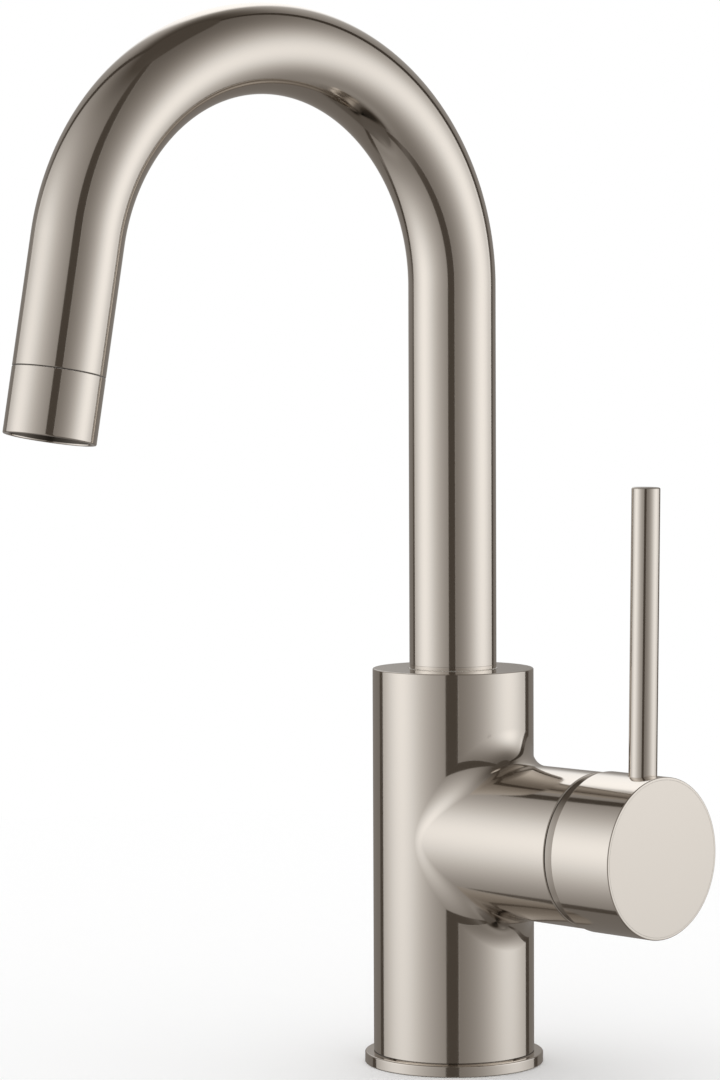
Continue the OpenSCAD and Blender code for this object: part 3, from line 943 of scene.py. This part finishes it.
def finish(name, tones, rough, metallic, grain, bump):
    """Material with a drifting tone and roughness over a grain.
    A grain is (effect, its input, that input's value), and a bump is (strength, distance)."""
    material = bpy.data.materials.new(name)
    material.use_nodes = True
    tree = material.node_tree
    shader = tree.nodes["Principled BSDF"]
    shader.inputs["Metallic"].default_value = metallic
    tone = placed(tree, "tone_drift", Scale=TONE_SCALE, Tone_A=(*tones[0], 1), Tone_B=(*tones[1], 1))
    haze = placed(tree, "polish_haze", Scale=HAZE_SCALE, Low=rough[0], High=rough[1])
    height = placed(tree, grain[0], **{grain[1]: grain[2]})
    relief = node(tree, "ShaderNodeBump", strength=bump[0], distance=bump[1])
    tree.links.new(tone.outputs["Colour"], shader.inputs["Base Color"])
    tree.links.new(haze.outputs["Roughness"], shader.inputs["Roughness"])
    tree.links.new(height.outputs["Height"], relief.inputs["Height"])
    tree.links.new(relief.outputs["Normal"], shader.inputs["Normal"])
    return material


FINISHES = {
    "nickel": finish(
        "warm_nickel", ((0.750, 0.696, 0.634), (0.740, 0.686, 0.622)), (0.07, 0.10), 1.0,
        ("fine_grain", "Scale", 900.0), (0.04, 0.00001)),
    "brass": finish(
        "turned_brass", ((0.80, 0.62, 0.33), (0.72, 0.54, 0.27)), (0.22, 0.34), 1.0,
        ("tool_marks", "Pitch", 0.0003), (0.3, 0.00002)),
    "steel": finish(
        "bright_steel", ((0.60, 0.60, 0.61), (0.52, 0.52, 0.53)), (0.22, 0.32), 1.0,
        ("tool_marks", "Pitch", 0.0002), (0.2, 0.00002)),
    "white_plastic": finish(
        "white_plastic", ((0.80, 0.79, 0.75), (0.76, 0.75, 0.71)), (0.38, 0.48), 0.0,
        ("fine_grain", "Scale", 2500.0), (0.3, 0.00003)),
    "grey_plastic": finish(
        "grey_plastic", ((0.26, 0.27, 0.28), (0.21, 0.22, 0.23)), (0.40, 0.52), 0.0,
        ("fine_grain", "Scale", 2500.0), (0.3, 0.00003)),
    "rubber": finish(
        "seal_rubber", ((0.022, 0.022, 0.023), (0.032, 0.031, 0.030)), (0.62, 0.75), 0.0,
        ("fine_grain", "Scale", 1800.0), (0.5, 0.00005)),
    "ceramic": finish(
        "lapped_ceramic", ((0.84, 0.81, 0.74), (0.80, 0.77, 0.70)), (0.12, 0.20), 0.0,
        ("fine_grain", "Scale", 4000.0), (0.15, 0.00001)),
}
# Painted shade: a dark copy of the nickel for faces in gaps, bores and seams, where shade falls
PAINTED_SHADE_NICKEL = finish(
    "painted_shade_nickel", ((0.105, 0.092, 0.078), (0.090, 0.079, 0.067)), (0.22, 0.32), 1.0,
    ("fine_grain", "Scale", 900.0), (0.04, 0.00001))


# ---------------------------------------------------------------- pieces

def dress(piece, body, slot, *nodes):
    """Gives a piece its finish, its body and the CAD nodes that it stands for.
    Where it has shaded faces, they get the dark copy of the nickel, which is painted shade."""
    piece.data.materials.append(FINISHES[slot])
    if any(face.material_index for face in piece.data.polygons):
        piece.data.materials.append(PAINTED_SHADE_NICKEL)
    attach(piece, body)
    if nodes:
        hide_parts(*nodes)
    return piece


screw_place = Matrix.Translation((0, 0, screw_z)) @ Matrix.Rotation(-math.pi / 2, 4, "X")
screw_place = screw_place @ Matrix.Translation((0, 0, screw_low.y))
grub_place = Matrix.Translation((grub_x, 0, grub_high.z)) @ Matrix.Rotation(math.pi, 4, "X")

dress(body_shell(), "base", "nickel", "faucet_body")
ring = dress(base_ring(), "base", "nickel", "base_ring")
dress(slip_ring(), "base", "nickel", "slip_ring")
dress(
    set_screw("rear_set_screw", screw_place, screw_high.y - screw_low.y, screw_tip_len),
    "base", "steel", "spout_retaining_screw")
dress(bonnet_ring(), "base", "nickel", "bonnet_ring")
dress(hub_shell(), "handle", "nickel", "handle_hub")
dress(hub_cap(), "handle", "nickel", "hub_cap")
dress(lever_foot_piece(), "handle", "nickel", "lever_rod")
lever = dress(lever_rod(), "handle", "nickel", "lever_rod")
dress(
    set_screw("hub_grub_screw", grub_place, grub_high.z - grub_low.z, grub_tip_len),
    "handle", "steel", "hub_set_screw")
dress(riser_skin(), "spout", "nickel", "spout_tube")
outlet = [
    dress(outlet_bend(), "spout", "nickel", "spout_tube"),
    dress(outlet_sleeve(), "spout", "nickel", "outlet_sleeve"),
    dress(aerator_grid(), "spout", "grey_plastic", "aerator_grid")
]

INNER_FINISHES = {
    "base_seal": "rubber", "spout_bush": "white_plastic", "cartridge_base": "grey_plastic",
    "port_seals": "rubber", "fixed_disc": "ceramic", "cartridge_case": "grey_plastic",
    "cartridge_nut": "brass", "stem_carrier": "white_plastic", "hinge_pin": "steel",
    "disc_slider": "white_plastic", "moving_disc": "ceramic", "cartridge_stem": "brass",
    "spout_nipple": "brass", "spout_o_rings": "rubber", "aerator_washer": "rubber",
    "aerator_core": "white_plastic", "aerator_screens": "steel",
}
for name, slot in INNER_FINISHES.items():
    cad_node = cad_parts[name]
    cad_node.data.materials.clear()
    cad_node.data.materials.append(FINISHES[slot])

# The lever, the outlet, and the base ring with its seal leave no streaks in the other parts' polish
for piece in [lever, ring, *outlet]:
    piece.visible_glossy = False
for name in ("base_seal", "aerator_washer", "aerator_core", "aerator_screens"):
    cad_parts[name].visible_glossy = False


# ---------------------------------------------------------------- camera

CAMERA_AZIMUTH = math.radians(-45.5)
CAMERA_REACH = 1.0713
CAMERA_HEIGHT = 0.2065
CAMERA_YAW = math.radians(-1.4438)
CAMERA_PITCH = math.radians(2.8631)
CAMERA_ROLL = math.radians(-0.2368)
CAMERA_LENS = 122.63

camera = bpy.data.objects.new("camera", bpy.data.cameras.new("camera"))
bpy.context.scene.collection.objects.link(camera)
bpy.context.scene.camera = camera
camera.data.lens = CAMERA_LENS
camera.data.sensor_fit = "AUTO"
camera.data.sensor_width = 36.0
camera.location = (
    CAMERA_REACH * math.cos(CAMERA_AZIMUTH), CAMERA_REACH * math.sin(CAMERA_AZIMUTH), CAMERA_HEIGHT)
to_row = Matrix.Rotation(CAMERA_AZIMUTH + math.pi / 2, 3, "Z")
heading = Matrix.Rotation(-CAMERA_YAW, 3, "Z") @ Matrix.Rotation(math.pi / 2 - CAMERA_PITCH, 3, "X")
camera.rotation_mode = "QUATERNION"
camera.rotation_quaternion = (to_row @ heading @ Matrix.Rotation(CAMERA_ROLL, 3, "Z")).to_quaternion()


# ---------------------------------------------------------------- studio

TENT_R = 0.95
TENT_CENTRE = (-0.05, 0.0)
WALL_LOW, WALL_HIGH = -2.3, 3.5
SHEET_STOPS = 72
END_R = 1.02 * TENT_R
END_RINGS = 8
END_JOIN = -130

# Colours of the panels by their level, from dim to bright
WARMTH = [
    (0.05, (1.0, 0.83, 0.67)), (0.14, (1.0, 0.905, 0.82)), (0.29, (1.0, 0.94, 0.885)),
    (0.43, (1.0, 0.965, 0.93)), (0.86, (1.0, 1.0, 1.0))
]


def tent_place(degrees, z, out=1.0):
    """Place on the tent's wall. Degrees run from the camera's side, positive to its right."""
    a = CAMERA_AZIMUTH + math.radians(degrees)
    r = out * TENT_R
    return (TENT_CENTRE[0] + r * math.cos(a), TENT_CENTRE[1] + r * math.sin(a), z)


def along_tent(degrees):
    """Metres along the tent's wall from the camera's side."""
    return math.radians(degrees) * TENT_R


def tent_sheet(name, start, end, steps, place):
    """Curved sheet from start to end in degrees round the tent. place takes degrees and a step.
    Its UV gives metres round the tent, and the step in metres."""
    stops = [start + (end - start) * k / SHEET_STOPS for k in range(SHEET_STOPS + 1)]
    count = len(steps)
    vertices = [place(stop, step) for stop in stops for step in steps]
    first_corners = [i * count + j for i in range(SHEET_STOPS) for j in range(count - 1)]
    mesh = bpy.data.meshes.new(name)
    mesh.from_pydata(vertices, [], [(v, v + 1, v + count + 1, v + count) for v in first_corners])
    uv = mesh.uv_layers.new(name="metres")
    for loop in mesh.loops:
        i, j = divmod(loop.vertex_index, count)
        uv.data[loop.index].uv = (along_tent(stops[i]), steps[j])
    sheet = bpy.data.objects.new(name, mesh)
    bpy.context.scene.collection.objects.link(sheet)
    return seen_in_gloss_only(sheet)


def tent_wall(name, start, end):
    """Upright panel of the tent. Its second measure is the height above the floor."""
    return tent_sheet(name, start, end, (WALL_LOW, WALL_HIGH), tent_place)


def tent_end(name, z):
    """Round sheet that closes the tent above or below. Its second measure runs out from its centre."""
    radii = [END_R * k / END_RINGS for k in range(END_RINGS + 1)]
    return tent_sheet(
        name, END_JOIN, END_JOIN + 360, radii, lambda degrees, r: tent_place(degrees, z, r / TENT_R))


def seen_in_gloss_only(panel):
    """Keeps a panel out of the camera's sight and out of the soft light, so only reflections show it."""
    panel.visible_camera = False
    panel.visible_diffuse = False
    panel.visible_shadow = False
    panel.visible_volume_scatter = False
    return panel


def panel_light(name, base, pools):
    """Light of a panel: a base level, and soft pools that fade away from their centres.
    A pool is (peak, its centre in degrees and in the second measure, its reach in metres along
    and across, flatness, fading). A pool with a peak below zero darkens.
    Where the light is dim it is warmer, by the levels and tints of WARMTH."""
    material = bpy.data.materials.new(name)
    material.use_nodes = True
    tree = material.node_tree
    tree.nodes.clear()
    place = node(tree, "ShaderNodeUVMap", uv_map="metres")
    glow = node(tree, "ShaderNodeEmission")
    out = node(tree, "ShaderNodeOutputMaterial")
    tree.links.new(glow.outputs[0], out.inputs["Surface"])
    total = None
    for peak, degrees, second, reach_along, reach_across, flatness, fading in pools:
        shift = node(tree, "ShaderNodeVectorMath", operation="SUBTRACT")
        shift.inputs[1].default_value = (along_tent(degrees), second, 0)
        scale = node(tree, "ShaderNodeVectorMath", operation="DIVIDE")
        scale.inputs[1].default_value = (reach_along, reach_across, 1)
        square = node(tree, "ShaderNodeVectorMath", operation="DOT_PRODUCT")
        flat = node(tree, "ShaderNodeMath", operation="POWER")
        flat.inputs[1].default_value = flatness
        one_more = node(tree, "ShaderNodeMath", operation="ADD")
        one_more.inputs[1].default_value = 1
        fade = node(tree, "ShaderNodeMath", operation="POWER")
        fade.inputs[1].default_value = -fading
        level = node(tree, "ShaderNodeMath", operation="MULTIPLY_ADD")
        level.inputs[1].default_value = peak
        level.inputs[2].default_value = base
        chain = [
            (place.outputs["UV"], shift.inputs[0]), (shift.outputs[0], scale.inputs[0]),
            (scale.outputs[0], square.inputs[0]), (scale.outputs[0], square.inputs[1]),
            (square.outputs["Value"], flat.inputs[0]), (flat.outputs[0], one_more.inputs[0]),
            (one_more.outputs[0], fade.inputs[0]), (fade.outputs[0], level.inputs[0]),
        ]
        for a, b in chain:
            tree.links.new(a, b)
        if total is not None:
            tree.links.new(total.outputs[0], level.inputs[2])
        total = level
    lit = node(tree, "ShaderNodeMath", operation="MAXIMUM")
    lit.inputs[1].default_value = 0
    tree.links.new(total.outputs[0], lit.inputs[0])
    warmth = node(tree, "ShaderNodeValToRGB")
    stops = warmth.color_ramp.elements
    while len(stops) < len(WARMTH):
        stops.new(1.0)
    for stop, (level, tint) in zip(stops, WARMTH):
        stop.position = level
        stop.color = (*tint, 1)
    tree.links.new(lit.outputs[0], warmth.inputs["Fac"])
    tree.links.new(warmth.outputs["Color"], glow.inputs["Color"])
    tree.links.new(lit.outputs[0], glow.inputs["Strength"])
    return material


# Walls: name, start and end in degrees, base level, pools
WALLS = [
    ("left_softbox", -119.0, -8.0, 0.03, [
        (1.10, -76.0, 0.21, 0.655, 0.72, 1, 0.95), (0.15, -70.0, -1.9, 1.6, 0.7, 1, 1.5),
        (0.16, -118.0, 0.5, 0.15, 0.25, 1, 2)]),
    ("camera_slot", -8.0, 8.6, 0.075, [(0.07, 0.0, -1.1, 1.0, 0.4, 1, 1.5)]),
    ("slot_rim", 8.6, 9.4, 0.30, [(0.05, 9.0, 0.2, 0.5, 1.0, 1, 1)]),
    ("right_softbox", 9.4, 121.8, 0.135, [
        (0.82, 82.5, 0.23, 1.11, 1.07, 1, 3.5), (0.20, 100.0, 0.3, 1.2, 1.2, 1, 1.5),
        (0.13, 60.0, -1.4, 1.5, 0.6, 1, 1.5), (-0.11, 24.0, -2.2, 0.38, 0.4, 2, 1),
        (0.30, 121.0, 0.35, 0.12, 0.35, 1, 2)]),
    ("right_gap", 121.8, 133.5, 0.05, [
        (0.12, 129.0, -0.9, 0.5, 0.5, 1, 1.5), (0.07, 129.0, 0.25, 0.5, 0.2, 1, 2)]),
    ("back_wall", 133.5, 231.0, 0.055, [
        (0.12, 180.0, -0.3, 6.0, 2.2, 4, 1), (0.77, 186.0, 0.95, 0.27, 0.65, 5, 1),
        (0.34, 183.0, 1.15, 0.9, 1.0, 1, 2)]),
    ("left_gap", 231.0, 241.0, 0.06, [
        (0.22, 236.0, 0.40, 0.5, 0.25, 1, 2), (0.12, 236.0, -0.7, 0.5, 0.35, 1, 2)]),
]

# Ends: name, height, base level, pools
ENDS = [
    ("tent_roof", WALL_HIGH, 0.08, [(0.01, 0.0, 0.8, 0.4, 0.4, 1, 1.5)]),
    ("tent_ground", WALL_LOW, 0.11, [
        (-0.095, 34.0, 0.5, 0.37, 0.55, 4, 1), (-0.09, 110.0, 0.1, 1.0, 0.18, 2, 1),
        (-0.08, 190.0, 0.2, 0.3, 0.2, 2, 1), (0.13, -70.0, 0.95, 0.5, 0.3, 1, 1.5),
        (0.14, 85.0, 0.95, 0.4, 0.35, 1, 1.5)]),
]
for name, start, end, base, pools in WALLS:
    tent_wall(name, start, end).data.materials.append(panel_light(name, base, pools))
for name, height, base, pools in ENDS:
    tent_end(name, height).data.materials.append(panel_light(name, base, pools))

# Pale floor, as white as the background where nothing shades it. The metal shows the tent in its place.
FLOOR_R = 0.6
FLOOR_DROP = 0.0002
FLOOR_AROUND = 128
floor_mesh = bpy.data.meshes.new("floor")
rim = circle_loop(0, 0, FLOOR_R, FLOOR_AROUND)
floor_mesh.from_pydata([(x, y, -FLOOR_DROP) for x, y in rim], [], [tuple(range(FLOOR_AROUND))])
floor = bpy.data.objects.new("floor", floor_mesh)
bpy.context.scene.collection.objects.link(floor)
floor.visible_glossy = False
floor_paint = bpy.data.materials.new("pale_floor")
floor_paint.use_nodes = True
paint = floor_paint.node_tree.nodes["Principled BSDF"]
paint.inputs["Base Color"].default_value = (1, 1, 1, 1)
paint.inputs["Roughness"].default_value = 1.0
paint.inputs["Specular IOR Level"].default_value = 0.0
floor.data.materials.append(floor_paint)

# White surroundings: the background, and an even soft light
world = bpy.data.worlds.new("white_surroundings")
bpy.context.scene.world = world
world.use_nodes = True
world.node_tree.nodes["Background"].inputs["Color"].default_value = (1, 1, 1, 1)
world.node_tree.nodes["Background"].inputs["Strength"].default_value = 1.0

bpy.context.scene.view_settings.view_transform = "Standard"

bpy.context.view_layer.update()
